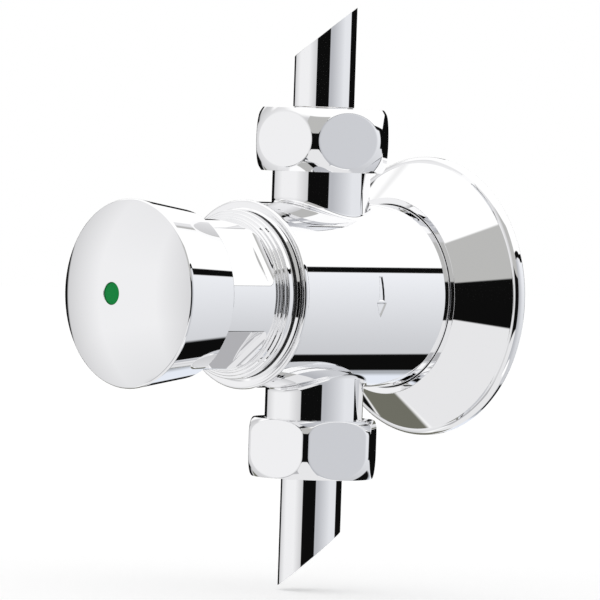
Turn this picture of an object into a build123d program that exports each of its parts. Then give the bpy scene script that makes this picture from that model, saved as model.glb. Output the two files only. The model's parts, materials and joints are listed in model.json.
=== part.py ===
"""Urinal flush valve: a self-closing push valve between two 14 mm tubes.

Frame: millimetres, +Z up, +Y into the wall. The origin is the centre of the wall face on the
valve axis. The valve axis runs along Y, with the push button toward -Y. The tubes stand on the
pipe axis, which is parallel to Z. Names that end in _at are distances forward of the wall.
"""
import math
import os

from build123d import *

os.makedirs("parts", exist_ok=True)

# Clearances
fit_gap = 0.05
running_gap = 0.06
loose_gap = 0.3

# Wall bracket with its stud and locknut
bracket_radius = 25.0
bracket_thickness = 3.0
bracket_hole_radius = 2.25
bracket_hole_circle = 19.0
bracket_hole_count = 3
stud_radius = 5.95
locknut_across_flats = 19.0
locknut_thickness = 4.5
locknut_gap = 0.5

# Valve body: barrel, chambers and bulkhead
barrel_wall = 4.15
back_wall = 7.1
inlet_radius = 15.0
inlet_length = 18.0
bulkhead_thickness = 4.0
outlet_radius = 16.5
outlet_length = 14.0
chamber_cover = 2.0
stud_hole_depth = 5.1
body_thread_radius = 17.0
body_thread_length = 8.8
collar_lip = 0.35
collar_width = 1.5
collar_relief = 0.4
collar_shoulder = 1.0
face_step = 0.45

# Flow arrow cut in the barrel, its shaft and its head apart
arrow_depth = 0.35
arrow_top = 5.2
arrow_shaft_length = 5.8
arrow_shaft_width = 1.9
arrow_shaft_taper = 0.8
arrow_gap = 0.2
arrow_head_length = 3.8
arrow_head_width = 3.3

# Necks, union nuts and tubes
neck_shoulder = 0.25
neck_height = 28.8
neck_fillet = 1.5
neck_bore_radius = 7.5
union_thread_radius = 11.0
union_thread_length = 7.7
nut_end_width = 2.6
nut_corner_rise = 1.75
nut_angle = -20.0
nut_overlap = 0.5
nut_lip_gap = 0.1
supply_nut_across_flats = 29.0
supply_nut_lip = 2.7
supply_nut_round = 7.2
flush_nut_across_flats = 28.0
flush_nut_lip = 1.7
flush_nut_round_neck = 3.5
flush_nut_round_tube = 5.5
washer_thickness = 2.0
tube_radius = 7.0
tube_wall = 1.0
tube_seat_depth = 0.25
tube_collar_thickness = 1.5
supply_reach = 60.4
flush_reach = 60.6
supply_cut_slope = 0.83
flush_cut_slope = 0.9
cut_heading = 46.2

# Seat ring
seat_thread_radius = 11.0
seat_hole_radius = 6.5
seat_nose_width = 1.2
seat_nose_height = 0.6
seat_recess = 0.2

# Bonnet with its gasket, cylinder cap and stem seal
gasket_thickness = 0.8
gasket_width = 1.85
flange_lip = 0.35
flange_bead = 1.9
flange_cone = 1.1
flange_cone_step = 1.2
flange_ring = 0.5
flange_ring_step = 1.8
sleeve_step = 2.2
sleeve_length = 18.9
sleeve_edge = 0.6
flat_depth = 1.85
flat_angle = 36.0
flat_count = 4
cylinder_wall = 1.65
cylinder_front_wall = 8.0
cap_thickness = 2.0
cap_bore_gap = 0.5
locknut_pocket_radius = 7.0
locknut_pocket_depth = 3.1
seal_groove_width = 2.0
seal_groove_web = 0.8
seal_section = 1.6

# Plunger: stem, piston, clips and clapper
stroke = 8.0
stem_radius = 3.5
stem_thread_radius = 2.95
stem_thread_length = 4.0
stem_tip = 0.5
stem_collar_radius = 5.0
stem_collar_width = 1.0
stem_locknut_across_flats = 10.0
stem_locknut_thickness = 2.5
clip_radius = 5.5
clip_thickness = 1.0
clip_groove_depth = 0.7
clip_opening = 4.0
piston_rest_gap = 0.4
piston_length = 6.0
piston_ring_depth = 2.5
piston_ring_width = 2.4
seat_gap = 0.1
clapper_washer_radius = 8.5
clapper_washer_thickness = 2.5
clapper_holder_wall = 1.0
clapper_holder_floor = 2.5
clapper_holder_rim = 1.2
clapper_nut_across_flats = 10.0
clapper_nut_thickness = 3.0

# Return spring
spring_side_gap = 3.45
spring_wire = 1.1
spring_turns = 4

# Push button and its insert
button_stop_gap = 0.3
button_boss_radius = 8.5
button_boss_length = 1.6
button_crown = 5.9
button_flare = 2.15
button_rim_rounding = 1.0
button_dome_radius = 46.3
button_sleeve_gap = 1.0
button_tail_overlap = 4.0
button_wall = 1.15
button_front_wall = 2.6
button_thread_length = 4.3
insert_radius = 2.45
insert_thickness = 1.4
insert_sink = 0.3

# Wall flange and its O-ring
wall_flange_rim_width = 1.43
wall_flange_rim = 0.9
wall_flange_cover = 6.0
wall_flange_lip_at = 2.6
wall_flange_flare = 4.7
wall_flange_waist_at = 7.2
wall_flange_hub_wall = 1.4
wall_flange_front_at = 13.3
wall_flange_bore_gap = 0.15
wall_flange_shell = 2.0
oring_section = 1.25
oring_groove_width = 1.8
oring_front_wall = 1.3

# Radii built up from the threads, bores and walls
barrel_radius = body_thread_radius + barrel_wall
collar_radius = barrel_radius + collar_lip
gasket_outer_radius = body_thread_radius + gasket_width
flange_radius = gasket_outer_radius + flange_lip
flange_cone_radius = flange_radius - flange_cone_step
flange_ring_radius = flange_radius - flange_ring_step
sleeve_radius = flange_radius - sleeve_step
flat_distance = sleeve_radius - flat_depth
cylinder_radius = flat_distance - cylinder_wall
piston_ring_groove_radius = cylinder_radius - piston_ring_depth
spring_radius = cylinder_radius - spring_side_gap - spring_wire / 2
button_tail_radius = sleeve_radius + button_sleeve_gap + button_wall
button_rim_radius = button_tail_radius + button_flare
neck_radius = union_thread_radius + neck_shoulder
nut_end_radius = neck_radius + nut_end_width
tube_seat_radius = tube_radius - tube_seat_depth
wall_flange_bore = barrel_radius + wall_flange_bore_gap
wall_flange_hub_radius = wall_flange_bore + wall_flange_hub_wall
wall_flange_waist_radius = wall_flange_hub_radius + wall_flange_flare
wall_flange_lip_radius = bracket_radius + wall_flange_cover
wall_flange_radius = wall_flange_lip_radius + wall_flange_rim_width


def dome_at(radius):
    """Distance forward of the wall at which the button's dome has a given radius."""
    return crown_at - button_dome_radius + math.sqrt(button_dome_radius**2 - radius**2)


# Stations along the valve axis, chained from the wall forward
body_back_at = bracket_thickness + locknut_gap + locknut_thickness
inlet_back_at = body_back_at + back_wall
bulkhead_back_at = inlet_back_at + inlet_length
bulkhead_front_at = bulkhead_back_at + bulkhead_thickness
pipe_at = bulkhead_back_at + bulkhead_thickness / 2
outlet_front_at = bulkhead_front_at + outlet_length
body_front_at = outlet_front_at + body_thread_length
flange_back_at = body_front_at + gasket_thickness
sleeve_back_at = flange_back_at + flange_bead + flange_cone + flange_ring
bonnet_front_at = sleeve_back_at + sleeve_length
cylinder_front_at = bonnet_front_at - cylinder_front_wall
cylinder_back_at = outlet_front_at + cap_thickness
seal_front_at = bonnet_front_at - locknut_pocket_depth - seal_groove_web
boss_at = bonnet_front_at + stroke + button_stop_gap
ceiling_at = boss_at + button_boss_length
crown_at = ceiling_at + button_crown
button_rim_at = dome_at(button_rim_radius)
button_tail_at = bonnet_front_at - button_tail_overlap
insert_back_at = crown_at - insert_sink - insert_thickness
piston_clip_front_at = cylinder_front_at - piston_rest_gap
piston_front_at = piston_clip_front_at - clip_thickness
piston_back_at = piston_front_at - piston_length
piston_clip_back_at = piston_back_at - clip_thickness
nose_at = bulkhead_back_at - seat_nose_height + seat_recess
clapper_front_at = nose_at - seat_gap
washer_back_at = clapper_front_at - clapper_washer_thickness
holder_back_at = washer_back_at - clapper_holder_floor
clapper_nut_back_at = holder_back_at - clapper_nut_thickness
stem_back_at = clapper_nut_back_at - stem_tip

# Stations along the pipe axis, measured from the valve axis, the same above and below
passage_floor = outlet_radius + chamber_cover
spigot_top = neck_height + union_thread_length
washer_top = spigot_top + washer_thickness
collar_top = washer_top + tube_collar_thickness
lip_bottom = collar_top + nut_lip_gap
supply_nut_top = lip_bottom + supply_nut_lip
flush_nut_top = lip_bottom + flush_nut_lip
nut_bottom = neck_height - nut_overlap
union_bore_radius = union_thread_radius + fit_gap
nut_relief_radius = neck_radius + loose_gap
nut_relief_top = neck_height + nut_overlap

valve_axis = Axis.Y
pipe_axis = Axis((0, -pipe_at, 0), (0, 0, 1))
# On this plane, local x is the radius and local y runs forward of the wall.
turning_plane = Plane((0, 0, 0), x_dir=(1, 0, 0), z_dir=(0, 0, -1))
# On this plane, local x is the distance from the pipe axis and local y is the height.
pipe_plane = Plane((0, -pipe_at, 0), x_dir=(1, 0, 0), z_dir=(0, -1, 0))


def station(forward):
    """Plane across the valve axis, at a distance forward of the wall, facing forward."""
    return Plane((0, -forward, 0), x_dir=(1, 0, 0), z_dir=(0, -1, 0))


def pipe_level(height):
    """Plane across the pipe axis at a height, facing up."""
    return Plane((0, -pipe_at, height), x_dir=(1, 0, 0), z_dir=(0, 0, 1))


def finish(piece, name):
    """Label a finished piece and write it to its own file."""
    piece.part.label = name
    export_step(piece.part, f"parts/{name}.step")


def ring(inner, outer, back, front):
    """Plain turned ring on the valve axis."""
    with BuildPart() as piece:
        with BuildSketch(station(back)):
            Circle(outer)
            Circle(inner, mode=Mode.SUBTRACT)
        extrude(amount=front - back)
    return piece


def rod(radius, back, front):
    """Plain turned bar on the valve axis."""
    with BuildPart() as piece:
        with BuildSketch(station(back)):
            Circle(radius)
        extrude(amount=front - back)
    return piece


def pipe_ring(inner, outer, bottom, top):
    """Plain turned ring on the pipe axis."""
    with BuildPart() as piece:
        with BuildSketch(pipe_level(bottom)):
            Circle(outer)
            Circle(inner, mode=Mode.SUBTRACT)
        extrude(amount=top - bottom)
    return piece


def hex_ring(inner, across_flats, back, front):
    """Plain hexagon nut on the valve axis."""
    with BuildPart() as piece:
        with BuildSketch(station(back)):
            RegularPolygon(across_flats / 2, 6, major_radius=False)
            Circle(inner, mode=Mode.SUBTRACT)
        extrude(amount=front - back)
    return piece


# Flow arrow tool: an arrow as deep as the cut, wrapped on the barrel at +X, pointing down
shaft_end = arrow_top - arrow_shaft_length
head_start = shaft_end - arrow_gap
with BuildPart() as arrow_cut:
    with BuildSketch(Plane.YZ.offset(barrel_radius - arrow_head_width)):
        with BuildLine():
            Polyline(
                (-pipe_at - arrow_shaft_width / 2, shaft_end),
                (-pipe_at - arrow_shaft_width / 2 + arrow_shaft_taper / 2, arrow_top),
                (-pipe_at + arrow_shaft_width / 2 - arrow_shaft_taper / 2, arrow_top),
                (-pipe_at + arrow_shaft_width / 2, shaft_end),
                close=True,
            )
        make_face()
        with BuildLine():
            Polyline(
                (-pipe_at - arrow_head_width / 2, head_start),
                (-pipe_at, head_start - arrow_head_length),
                (-pipe_at + arrow_head_width / 2, head_start),
                close=True,
            )
        make_face()
    extrude(amount=2 * arrow_head_width)
    with BuildSketch(station(0)):
        Circle(barrel_radius - arrow_depth)
    extrude(amount=body_front_at, mode=Mode.SUBTRACT)

# Valve body: barrel with two necks, an inlet chamber behind the bulkhead and an outlet before it
barrel_front_at = body_front_at - collar_width
face_at = body_front_at - face_step
bead_rise = collar_width - face_step
with BuildPart() as valve_body:
    with BuildSketch(turning_plane):
        with BuildLine():
            Polyline(
                (barrel_radius, barrel_front_at - collar_relief),
                (barrel_radius, body_back_at),
                (0, body_back_at),
                (0, body_front_at),
                (gasket_outer_radius + face_step, body_front_at),
                (gasket_outer_radius + 2 * face_step, face_at),
                (collar_radius - collar_shoulder, face_at),
            )
            ThreePointArc(
                (collar_radius - collar_shoulder, face_at),
                (collar_radius - bead_rise / 6, face_at - bead_rise / 5),
                (collar_radius, face_at - bead_rise / 2),
            )
            Polyline(
                (collar_radius, face_at - bead_rise / 2),
                (collar_radius, barrel_front_at),
                (barrel_radius, barrel_front_at - collar_relief),
            )
        make_face()
    revolve(axis=valve_axis)
    with BuildSketch(pipe_level(-neck_height)):
        Circle(neck_radius)
    extrude(amount=2 * neck_height)
    neck_roots = valve_body.edges().filter_by(lambda e: e.geom_type not in (GeomType.LINE, GeomType.CIRCLE))
    fillet(neck_roots, radius=neck_fillet)
    with BuildSketch(pipe_level(-spigot_top)):
        Circle(union_thread_radius)
    extrude(amount=2 * spigot_top)
    with BuildSketch(station(inlet_back_at)):
        Circle(inlet_radius)
    extrude(amount=inlet_length, mode=Mode.SUBTRACT)
    with BuildSketch(station(bulkhead_front_at)):
        Circle(outlet_radius)
    extrude(amount=outlet_length, mode=Mode.SUBTRACT)
    with BuildSketch(station(outlet_front_at)):
        Circle(body_thread_radius)
    extrude(amount=body_thread_length, mode=Mode.SUBTRACT)
    with BuildSketch(station(bulkhead_back_at)):
        Circle(seat_thread_radius)
    extrude(amount=bulkhead_thickness, mode=Mode.SUBTRACT)
    with BuildSketch(station(body_back_at)):
        Circle(stud_radius + fit_gap)
    extrude(amount=stud_hole_depth, mode=Mode.SUBTRACT)
    with BuildSketch(pipe_level(passage_floor)):
        Circle(neck_bore_radius)
    extrude(amount=spigot_top - passage_floor, mode=Mode.SUBTRACT)
    with BuildSketch(pipe_level(-spigot_top)):
        Circle(neck_bore_radius)
    extrude(amount=spigot_top - passage_floor, mode=Mode.SUBTRACT)
    with BuildSketch(pipe_level(inlet_radius / 2)):
        Circle(neck_bore_radius)
        with Locations((0, bulkhead_thickness / 2 - neck_bore_radius)):
            Rectangle(2 * neck_bore_radius, 2 * neck_bore_radius, mode=Mode.SUBTRACT)
    extrude(amount=passage_floor - inlet_radius / 2, mode=Mode.SUBTRACT)
    with BuildSketch(pipe_level(-passage_floor)):
        Circle(neck_bore_radius)
        with Locations((0, neck_bore_radius - bulkhead_thickness / 2)):
            Rectangle(2 * neck_bore_radius, 2 * neck_bore_radius, mode=Mode.SUBTRACT)
    extrude(amount=passage_floor - outlet_radius / 2, mode=Mode.SUBTRACT)
    add(arrow_cut.part, mode=Mode.SUBTRACT)
finish(valve_body, "valve_body")

# Seat ring: screwed into the bulkhead, with a raised nose for the clapper washer
nose_land_at = nose_at + seat_nose_height
with BuildPart() as seat_ring:
    with BuildSketch(turning_plane):
        with BuildLine():
            Polyline(
                (seat_hole_radius, bulkhead_front_at),
                (seat_thread_radius - fit_gap, bulkhead_front_at),
                (seat_thread_radius - fit_gap, nose_land_at),
                (seat_hole_radius + seat_nose_width, nose_land_at),
                (seat_hole_radius + seat_nose_width, nose_at),
                (seat_hole_radius, nose_at),
                close=True,
            )
        make_face()
    revolve(axis=valve_axis)
finish(seat_ring, "seat_ring")

# Bonnet: sleeve with four flats, a beaded flange, and the dashpot cylinder inside
runout = math.sin(math.radians(45))
spigot_radius = body_thread_radius - fit_gap
bead_front_at = flange_back_at + flange_bead
cone_front_at = bead_front_at + flange_cone
with BuildPart() as bonnet:
    with BuildSketch(turning_plane):
        with BuildLine():
            Polyline(
                (flange_radius - flange_bead / 4, flange_back_at),
                (spigot_radius, flange_back_at),
                (spigot_radius, outlet_front_at),
                (0, outlet_front_at),
                (0, bonnet_front_at),
                (sleeve_radius - sleeve_edge, bonnet_front_at),
                (sleeve_radius, bonnet_front_at - sleeve_edge),
                (sleeve_radius, sleeve_back_at),
                (flange_ring_radius, sleeve_back_at),
                (flange_ring_radius, cone_front_at),
                (flange_cone_radius, cone_front_at),
                (flange_radius - flange_bead / 4, bead_front_at),
            )
            ThreePointArc(
                (flange_radius - flange_bead / 4, bead_front_at),
                (flange_radius, flange_back_at + flange_bead / 2),
                (flange_radius - flange_bead / 4, flange_back_at),
            )
        make_face()
    revolve(axis=valve_axis)
    for index in range(flat_count):
        turn = math.radians(flat_angle + index * 360 / flat_count)
        flat_plane = Plane(
            (0, 0, 0),
            x_dir=(math.cos(turn), 0, math.sin(turn)),
            z_dir=(math.sin(turn), 0, -math.cos(turn)),
        )
        with BuildSketch(flat_plane):
            with BuildLine():
                ThreePointArc(
                    (flat_distance, sleeve_back_at + flat_depth),
                    (sleeve_radius - flat_depth * runout, sleeve_back_at + flat_depth * (1 - runout)),
                    (sleeve_radius, sleeve_back_at),
                )
                Polyline(
                    (sleeve_radius, sleeve_back_at),
                    (sleeve_radius + flat_depth, sleeve_back_at),
                    (sleeve_radius + flat_depth, bonnet_front_at + flat_depth),
                    (flat_distance, bonnet_front_at + flat_depth),
                    (flat_distance, sleeve_back_at + flat_depth),
                )
            make_face()
        extrude(amount=sleeve_radius, both=True, mode=Mode.SUBTRACT)
    with BuildSketch(station(outlet_front_at)):
        Circle(cylinder_radius)
    extrude(amount=cylinder_front_at - outlet_front_at, mode=Mode.SUBTRACT)
    with BuildSketch(station(cylinder_front_at)):
        Circle(stem_radius + running_gap)
    extrude(amount=cylinder_front_wall, mode=Mode.SUBTRACT)
    with BuildSketch(station(bonnet_front_at - locknut_pocket_depth)):
        Circle(locknut_pocket_radius)
    extrude(amount=locknut_pocket_depth, mode=Mode.SUBTRACT)
    with BuildSketch(station(seal_front_at - seal_groove_width)):
        Circle(stem_radius + seal_section + fit_gap)
    extrude(amount=seal_groove_width, mode=Mode.SUBTRACT)
finish(bonnet, "bonnet")

bonnet_gasket = ring(body_thread_radius, gasket_outer_radius, body_front_at, flange_back_at)
finish(bonnet_gasket, "bonnet_gasket")

cylinder_cap = ring(stem_radius + cap_bore_gap, cylinder_radius - fit_gap, outlet_front_at, cylinder_back_at)
finish(cylinder_cap, "cylinder_cap")

# Stem seal: O-ring that fills its groove in the front wall of the bonnet
with BuildPart() as stem_seal:
    with BuildSketch(turning_plane):
        with Locations((stem_radius + fit_gap / 2 + seal_section / 2, seal_front_at - seal_groove_width / 2)):
            Circle(seal_section / 2)
    revolve(axis=valve_axis)
finish(stem_seal, "stem_seal")

# Return spring: one unbroken coil from the cylinder cap to the piston
spring_length = piston_back_at - cylinder_back_at
spring_travel = spring_length - spring_wire - 2 * fit_gap
with BuildPart() as return_spring:
    with BuildLine():
        coil = Helix(
            pitch=spring_travel / spring_turns,
            height=spring_travel,
            radius=spring_radius,
            center=(0, -cylinder_back_at - spring_wire / 2 - fit_gap, 0),
            direction=(0, -1, 0),
        )
    with BuildSketch(Plane(origin=coil @ 0, z_dir=coil % 0)):
        Circle(spring_wire / 2)
    sweep(path=coil, is_frenet=True)
finish(return_spring, "return_spring")

# Stem: threaded for the button in front, stepped down behind its collar for the clapper
stem_front_at = boss_at + stem_thread_length
stem_shoulder_at = boss_at - stem_locknut_thickness
clip_groove_radius = stem_radius - clip_groove_depth
with BuildPart() as stem:
    with BuildSketch(turning_plane):
        with BuildLine():
            Polyline(
                (0, stem_back_at),
                (stem_thread_radius, stem_back_at),
                (stem_thread_radius, clapper_front_at),
                (stem_collar_radius, clapper_front_at),
                (stem_collar_radius, clapper_front_at + stem_collar_width),
                (stem_radius, clapper_front_at + stem_collar_width),
                (stem_radius, piston_clip_back_at),
                (clip_groove_radius, piston_clip_back_at),
                (clip_groove_radius, piston_back_at),
                (stem_radius, piston_back_at),
                (stem_radius, piston_front_at),
                (clip_groove_radius, piston_front_at),
                (clip_groove_radius, piston_clip_front_at),
                (stem_radius, piston_clip_front_at),
                (stem_radius, stem_shoulder_at),
                (stem_thread_radius, stem_shoulder_at),
                (stem_thread_radius, stem_front_at),
                (0, stem_front_at),
                close=True,
            )
        make_face()
    revolve(axis=valve_axis)
finish(stem, "stem")

stem_locknut = hex_ring(stem_thread_radius + fit_gap, stem_locknut_across_flats, stem_shoulder_at, boss_at)
finish(stem_locknut, "stem_locknut")

# Piston: slides in the cylinder and carries a sealing ring in its groove
ring_back_at = (piston_front_at + piston_back_at) / 2 - piston_ring_width / 2
with BuildPart() as piston:
    with BuildSketch(station(piston_back_at)):
        Circle(cylinder_radius - running_gap)
        Circle(stem_radius + fit_gap, mode=Mode.SUBTRACT)
    extrude(amount=piston_length)
    with BuildSketch(station(ring_back_at)):
        Circle(cylinder_radius)
        Circle(piston_ring_groove_radius, mode=Mode.SUBTRACT)
    extrude(amount=piston_ring_width, mode=Mode.SUBTRACT)
finish(piston, "piston")

piston_seal = ring(
    piston_ring_groove_radius + fit_gap,
    cylinder_radius - running_gap / 2,
    ring_back_at + fit_gap,
    ring_back_at + piston_ring_width - fit_gap,
)
finish(piston_seal, "piston_seal")

# Piston clips: two open retaining rings in the grooves of the stem
with BuildPart() as piston_clips:
    for clip_back_at in (piston_clip_back_at, piston_front_at):
        with BuildSketch(station(clip_back_at)):
            Circle(clip_radius)
            Circle(clip_groove_radius + fit_gap, mode=Mode.SUBTRACT)
            with Locations((0, -clip_radius / 2)):
                Rectangle(clip_opening, clip_radius, mode=Mode.SUBTRACT)
        extrude(amount=clip_thickness)
finish(piston_clips, "piston_clips")

# Clapper: washer held in a cup by a nut on the stem
holder_inner_radius = clapper_washer_radius + fit_gap
clapper_bore_radius = stem_thread_radius + fit_gap
with BuildPart() as clapper_holder:
    with BuildSketch(station(holder_back_at)):
        Circle(holder_inner_radius + clapper_holder_wall)
        Circle(clapper_bore_radius, mode=Mode.SUBTRACT)
    extrude(amount=clapper_holder_floor)
    with BuildSketch(station(washer_back_at)):
        Circle(holder_inner_radius + clapper_holder_wall)
        Circle(holder_inner_radius, mode=Mode.SUBTRACT)
    extrude(amount=clapper_holder_rim)
finish(clapper_holder, "clapper_holder")

clapper_washer = ring(clapper_bore_radius, clapper_washer_radius, washer_back_at, clapper_front_at)
finish(clapper_washer, "clapper_washer")

clapper_nut = hex_ring(clapper_bore_radius, clapper_nut_across_flats, clapper_nut_back_at, holder_back_at)
finish(clapper_nut, "clapper_nut")

# Push button: a cap with a domed crown, a flared skirt, and a boss screwed on the stem
tail_inner_radius = button_tail_radius - button_wall
front_inner_radius = button_rim_radius - button_front_wall
with BuildPart() as push_button:
    with BuildSketch(turning_plane):
        with BuildLine():
            ThreePointArc(
                (0, crown_at),
                (button_rim_radius / 2, dome_at(button_rim_radius / 2)),
                (button_rim_radius, button_rim_at),
            )
            Polyline(
                (button_rim_radius, button_rim_at),
                (button_tail_radius, button_tail_at),
                (tail_inner_radius, button_tail_at),
                (front_inner_radius, ceiling_at),
                (button_boss_radius, ceiling_at),
                (button_boss_radius, boss_at),
                (0, boss_at),
                (0, crown_at),
            )
        make_face()
    revolve(axis=valve_axis)
    rim_edges = push_button.edges().filter_by(
        lambda e: e.geom_type == GeomType.CIRCLE and math.isclose(e.radius, button_rim_radius)
    )
    fillet(rim_edges, radius=button_rim_rounding)
    with BuildSketch(station(boss_at)):
        Circle(stem_thread_radius + fit_gap)
    extrude(amount=button_thread_length, mode=Mode.SUBTRACT)
    with BuildSketch(station(insert_back_at)):
        Circle(insert_radius + fit_gap)
    extrude(amount=insert_thickness + 2 * insert_sink, mode=Mode.SUBTRACT)
finish(push_button, "push_button")

button_insert = rod(insert_radius, insert_back_at, insert_back_at + insert_thickness)
finish(button_insert, "button_insert")


def union_nut(bottom, top, lip, across_flats, round_neck, round_tube):
    """Union nut from its neck end to its tube end, with rounded corners and a lip over the tube collar."""
    corner_radius = across_flats / 2 + nut_corner_rise
    side = math.copysign(1, top)
    with BuildPart() as piece:
        with BuildSketch(pipe_plane):
            with BuildLine():
                TangentArc(
                    (corner_radius, bottom + side * round_neck),
                    (nut_end_radius, bottom),
                    tangent=(0, -side),
                )
                Polyline(
                    (corner_radius, bottom + side * round_neck),
                    (corner_radius, top - side * round_tube),
                )
                TangentArc(
                    (corner_radius, top - side * round_tube),
                    (nut_end_radius, top),
                    tangent=(0, side),
                )
                Polyline(
                    (nut_end_radius, top),
                    (tube_radius + loose_gap, top),
                    (tube_radius + loose_gap, lip),
                    (union_bore_radius, lip),
                    (union_bore_radius, side * nut_relief_top),
                    (nut_relief_radius, side * nut_relief_top),
                    (nut_relief_radius, bottom),
                    (nut_end_radius, bottom),
                )
            make_face()
        revolve(axis=pipe_axis)
        with BuildSketch(pipe_level(0)):
            RegularPolygon(across_flats / 2, 6, major_radius=False, rotation=nut_angle - 30)
        extrude(amount=top, mode=Mode.INTERSECT)
    return piece


def tube(side, nut_top, reach, slope):
    """Tube stub with a turned-down seat for its collar and a slanted end; side is 1 above, -1 below."""
    tube_shoulder = nut_top + loose_gap
    heading = math.radians(cut_heading)
    cut_plane = Plane(
        (0, -pipe_at, side * reach),
        z_dir=(-slope * math.cos(heading), -slope * math.sin(heading), 1),
    )
    with BuildPart() as piece:
        with BuildSketch(pipe_level(side * washer_top)):
            Circle(tube_seat_radius)
        extrude(amount=side * (tube_shoulder - washer_top))
        with BuildSketch(pipe_level(side * tube_shoulder)):
            Circle(tube_radius)
        extrude(amount=side * (reach - tube_shoulder + 2 * tube_radius))
        with BuildSketch(pipe_level(side * washer_top)):
            Circle(tube_radius - tube_wall)
        extrude(amount=side * (reach - washer_top + 2 * tube_radius), mode=Mode.SUBTRACT)
        split(bisect_by=cut_plane, keep=Keep.BOTTOM if side > 0 else Keep.TOP)
    return piece


supply_nut = union_nut(
    nut_bottom,
    supply_nut_top,
    lip_bottom,
    supply_nut_across_flats,
    supply_nut_round,
    supply_nut_round,
)
finish(supply_nut, "supply_nut")

flush_nut = union_nut(
    -nut_bottom,
    -flush_nut_top,
    -lip_bottom,
    flush_nut_across_flats,
    flush_nut_round_neck,
    flush_nut_round_tube,
)
finish(flush_nut, "flush_nut")

supply_pipe = tube(1, supply_nut_top, supply_reach, supply_cut_slope)
finish(supply_pipe, "supply_pipe")

flush_pipe = tube(-1, flush_nut_top, flush_reach, flush_cut_slope)
finish(flush_pipe, "flush_pipe")

seal_outer_radius = union_thread_radius - fit_gap
supply_washer = pipe_ring(neck_bore_radius, seal_outer_radius, spigot_top, washer_top)
finish(supply_washer, "supply_washer")

flush_washer = pipe_ring(neck_bore_radius, seal_outer_radius, -washer_top, -spigot_top)
finish(flush_washer, "flush_washer")

tube_collar_bore = tube_seat_radius + fit_gap
supply_collar = pipe_ring(tube_collar_bore, seal_outer_radius, washer_top, collar_top)
finish(supply_collar, "supply_collar")

flush_collar = pipe_ring(tube_collar_bore, seal_outer_radius, -collar_top, -washer_top)
finish(flush_collar, "flush_collar")

# Wall bracket: round plate with screw holes and a threaded centre
with BuildPart() as wall_bracket:
    with BuildSketch(station(0)):
        Circle(bracket_radius)
        Circle(stud_radius + fit_gap, mode=Mode.SUBTRACT)
        with PolarLocations(bracket_hole_circle, bracket_hole_count, start_angle=90):
            Circle(bracket_hole_radius, mode=Mode.SUBTRACT)
    extrude(amount=bracket_thickness)
finish(wall_bracket, "wall_bracket")

bracket_stud = rod(stud_radius, 0, body_back_at + stud_hole_depth - loose_gap)
finish(bracket_stud, "bracket_stud")

bracket_locknut = hex_ring(
    stud_radius + fit_gap,
    locknut_across_flats,
    body_back_at - locknut_thickness,
    body_back_at,
)
finish(bracket_locknut, "bracket_locknut")

# Wall flange: trumpet rosette that slides on the barrel and covers the bracket
cavity_radius = wall_flange_lip_radius - wall_flange_shell
oring_front_at = wall_flange_front_at - oring_front_wall
with BuildPart() as wall_flange:
    with BuildSketch(turning_plane):
        with BuildLine():
            Polyline(
                (cavity_radius, 0),
                (wall_flange_radius, 0),
                (wall_flange_radius, wall_flange_rim),
            )
            ThreePointArc(
                (wall_flange_radius, wall_flange_rim),
                (
                    (wall_flange_radius + wall_flange_lip_radius) / 2 + wall_flange_rim / 4,
                    (wall_flange_rim + wall_flange_lip_at) / 2 + wall_flange_rim / 3,
                ),
                (wall_flange_lip_radius, wall_flange_lip_at),
            )
            ThreePointArc(
                (wall_flange_lip_radius, wall_flange_lip_at),
                (wall_flange_waist_radius, wall_flange_waist_at),
                (wall_flange_hub_radius, wall_flange_front_at),
            )
            Polyline(
                (wall_flange_hub_radius, wall_flange_front_at),
                (wall_flange_bore, wall_flange_front_at),
                (wall_flange_bore, wall_flange_waist_at),
                (wall_flange_waist_radius - wall_flange_shell, wall_flange_waist_at),
                (cavity_radius, wall_flange_rim),
                (cavity_radius, 0),
            )
        make_face()
    revolve(axis=valve_axis)
    with BuildSketch(station(oring_front_at - oring_groove_width)):
        Circle(barrel_radius + oring_section)
    extrude(amount=oring_groove_width, mode=Mode.SUBTRACT)
finish(wall_flange, "wall_flange")

with BuildPart() as flange_oring:
    with BuildSketch(turning_plane):
        with Locations((barrel_radius + oring_section / 2, oring_front_at - oring_groove_width / 2)):
            Circle(oring_section / 2 - fit_gap / 2)
    revolve(axis=valve_axis)
finish(flange_oring, "flange_oring")
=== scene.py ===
"""Looks of the urinal flush valve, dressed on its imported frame.

The shape functions work in millimetres, and a skin turns them into metres. Names that end in _at
are distances forward of the wall face along the valve axis. Heights are measured from that axis.
"""
import json
import math

import bpy
from mathutils import Matrix, Vector


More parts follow.
